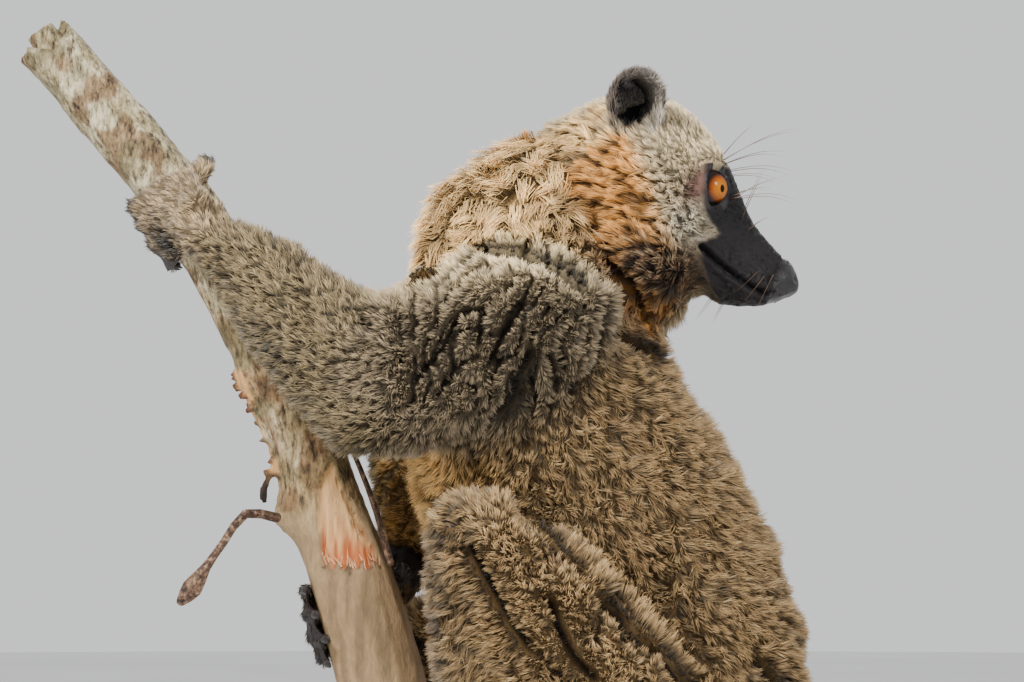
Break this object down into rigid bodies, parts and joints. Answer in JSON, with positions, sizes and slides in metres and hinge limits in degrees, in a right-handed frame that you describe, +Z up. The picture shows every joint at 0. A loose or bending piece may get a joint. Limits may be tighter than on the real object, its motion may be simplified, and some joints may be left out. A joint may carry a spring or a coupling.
{
  "type": "brown lemur",
  "caption": "Life-size still model of a brown lemur clinging upright to a broken branch, head turned back over its shoulder, held on a plain rod and base.",
  "frame": {"origin": "middle of the stand base's underside, which is the middle of the part's box at its lowest level", "axes": "+Z up; -X is the way the lemur's belly and the leaning branch face; -Y is the lemur's left side; the turned head's nose points to +X"},
  "size_m": [0.44, 0.3, 0.765],
  "materials": {
    "coat": "dense woolly fur, ticked grey-brown",
    "ear": "dark skin with short grey hair",
    "eye": "polished, amber",
    "bark": "weathered grey bark",
    "steel": "matt black",
    "board": "satin oiled"
  },
  "bodies": {
    "root": {"ear_left": "ear", "ear_right": "ear", "eye_left": "eye", "eye_right": "eye", "foot_left": "coat", "foot_right": "coat", "forearm_left": "coat", "forearm_right": "coat", "hand_left": "coat", "hand_right": "coat", "head": "coat", "neck": "coat", "perch": "bark", "perch_sliver": "bark", "perch_twig": "bark", "shin_left": "coat", "shin_right": "coat", "stand_base": "board", "stand_cup": "steel", "stand_rod": "steel", "tail_base": "coat", "tail_end": "coat", "tail_middle": "coat", "thigh_left": "coat", "thigh_right": "coat", "torso": "coat", "upper_arm_left": "coat", "upper_arm_right": "coat"}
  },
  "joints": []
}
